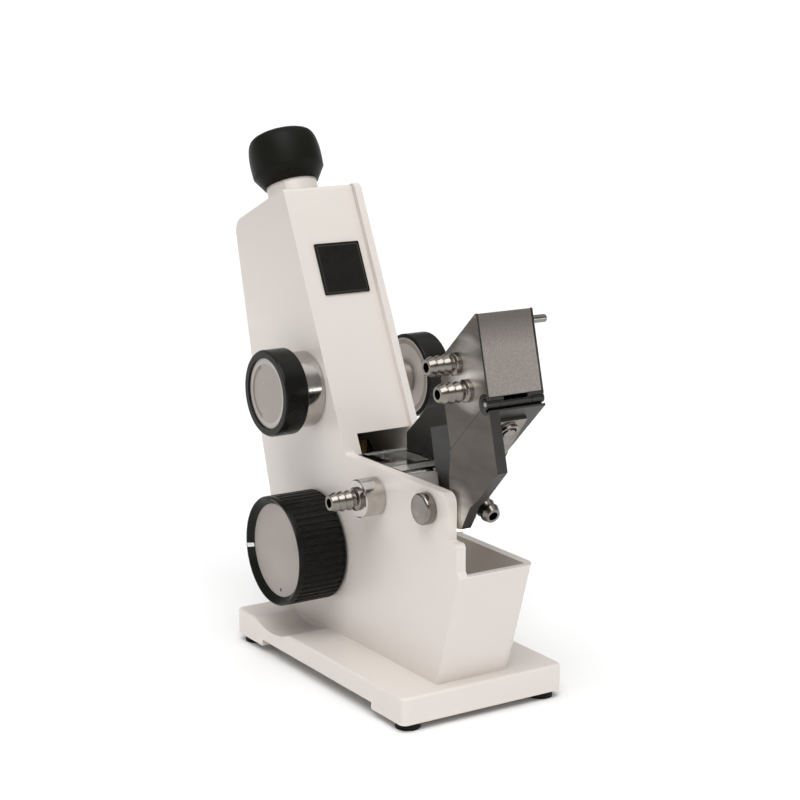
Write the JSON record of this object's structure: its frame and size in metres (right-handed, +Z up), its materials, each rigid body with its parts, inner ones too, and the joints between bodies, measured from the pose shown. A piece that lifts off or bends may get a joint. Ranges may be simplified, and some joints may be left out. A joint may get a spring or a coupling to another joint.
{
  "type": "abbe refractometer",
  "caption": "Bench refractometer: leaning eyepiece body on a flat base, hinged prism box over an open tray, cross-shaft knobs and hose spigots.",
  "frame": {"origin": "on the bench surface, under the centre of the base plate", "axes": "+Z up, +X towards the operator's right (knob side), +Y away from the operator (prism side); the eyepiece leans towards -Y"},
  "size_m": [0.0922, 0.2125, 0.2402],
  "materials": {
    "casing_paint": "smooth semi-gloss enamel, warm off-white",
    "black_metal": "matt black",
    "black_plate": "satin black plate, blank",
    "black_plastic": "moulded black, low gloss",
    "rubber": "soft black rubber",
    "chrome": "bright chrome plate",
    "steel": "turned steel",
    "prism_metal": "dark machined and polished metal",
    "dial_metal": "brushed silver dial plate",
    "hammer_paint": "grey hammer-finish enamel",
    "brass": "turned brass",
    "glass": "polished optical glass",
    "mirror": "silvered glass"
  },
  "bodies": {
    "stand": {"base_casting": "casing_paint", "rubber_feet": "rubber", "housing_shell": "casing_paint", "side_cover": "casing_paint", "case_screws": "steel", "name_plate": "black_plate", "prism_bracket": "black_metal", "window_glass": "glass", "fixed_seat": "prism_metal", "refracting_prism": "glass", "hinge_pin": "steel", "prism_clamp": "chrome", "fixed_spigots": "chrome", "union_collar": "chrome", "condenser_bezel": "chrome", "scale_mirror_mount": "black_metal", "scale_mirror": "mirror", "reading_tube": "black_metal", "scale_lenses": "glass", "compensator_housing": "black_metal", "telescope_barrel": "black_metal", "objective_lens": "glass", "calibration_screw": "steel", "prism_cell": "black_metal", "diverting_prism": "glass", "eyepiece_tube": "casing_paint", "reticle": "glass", "shaft_bushes": "brass", "shaft_collars": "chrome"},
    "focus": {"focus_ring": "black_plastic", "eyecup": "rubber"},
    "eye_lens_slide": {"lens_cell": "brass", "eye_lenses": "glass"},
    "dispersion": {"dispersion_knob": "black_plastic", "dispersion_dial": "dial_metal", "dispersion_shaft": "steel"},
    "drum": {"dispersion_drum": "black_plastic", "drum_dial": "dial_metal", "drum_shaft": "steel"},
    "upper_compensator": {"upper_prism_ring": "brass", "upper_amici_prism": "glass"},
    "lower_compensator": {"lower_prism_ring": "brass", "lower_amici_prism": "glass"},
    "index": {"index_knob": "black_plastic", "index_dial": "dial_metal", "index_shaft": "steel"},
    "rocker": {"sector_gear": "brass", "rocker_shaft": "steel", "mirror_carrier": "black_metal", "sample_mirror": "mirror", "scale_arm": "brass", "glass_scale": "glass"},
    "incident": {"incident_seat": "prism_metal", "incident_prism": "glass", "seat_spigots": "chrome", "seat_pins": "chrome"},
    "shade": {"shade_plate": "hammer_paint"},
    "lock": {"lock_screw": "chrome"},
    "reflector": {"reflector": "mirror", "reflector_knob": "chrome"}
  },
  "joints": [
    {"name": "focus", "type": "hinge", "parent": "stand", "child": "focus", "pos_m": [0, -0.0852, 0.2045], "axis": [0, -0.4226, 0.9063], "range_deg": [-150, 150]},
    {"name": "eye_lens_slide", "type": "slide", "parent": "stand", "child": "eye_lens_slide", "axis": [0, -0.4226, 0.9063], "range_m": [-0.0015, 0.0015]},
    {"name": "dispersion_knob", "type": "hinge", "parent": "stand", "child": "dispersion", "pos_m": [0, -0.0419, 0.1248], "axis": [1, 0, 0], "continuous": true},
    {"name": "dispersion_drum", "type": "hinge", "parent": "stand", "child": "drum", "pos_m": [0, -0.0419, 0.1248], "axis": [1, 0, 0], "continuous": true},
    {"name": "upper_compensator", "type": "hinge", "parent": "stand", "child": "upper_compensator", "pos_m": [0, -0.0419, 0.1248], "axis": [0, -0.4226, 0.9063], "continuous": true},
    {"name": "lower_compensator", "type": "hinge", "parent": "stand", "child": "lower_compensator", "pos_m": [0, -0.0419, 0.1248], "axis": [0, -0.4226, 0.9063], "continuous": true},
    {"name": "index_knob", "type": "hinge", "parent": "stand", "child": "index", "pos_m": [0, -0.0305, 0.0544], "axis": [1, 0, 0], "range_deg": [-100, 100]},
    {"name": "rocker", "type": "hinge", "parent": "stand", "child": "rocker", "pos_m": [0, -0.02584, 0.09036], "axis": [1, 0, 0], "range_deg": [-12.5, 12.5]},
    {"name": "prism_hinge", "type": "hinge", "parent": "stand", "child": "incident", "pos_m": [0, 0.09119, 0.14101], "axis": [-1, 0, 0], "range_deg": [0, 95]},
    {"name": "shade_pivot", "type": "hinge", "parent": "incident", "child": "shade", "pos_m": [0, 0.08334, 0.1757], "axis": [1, 0, 0], "range_deg": [0, 100]},
    {"name": "lock_screw", "type": "hinge", "parent": "incident", "child": "lock", "pos_m": [-0.0105, 0.06979, 0.12056], "axis": [0, -0.6909, 0.723], "range_deg": [0, 270]},
    {"name": "reflector", "type": "hinge", "parent": "stand", "child": "reflector", "pos_m": [0, 0.05875, 0.0916], "axis": [1, 0, 0], "range_deg": [-20, 25]}
  ],
  "couplings": [
    {"joint": "eye_lens_slide", "follows": "focus", "m_per_rad": 0.00057296},
    {"joint": "dispersion_drum", "follows": "dispersion_knob", "ratio": -1},
    {"joint": "upper_compensator", "follows": "dispersion_knob", "ratio": -0.5},
    {"joint": "lower_compensator", "follows": "dispersion_knob", "ratio": 0.5},
    {"joint": "rocker", "follows": "index_knob", "ratio": -0.125}
  ]
}
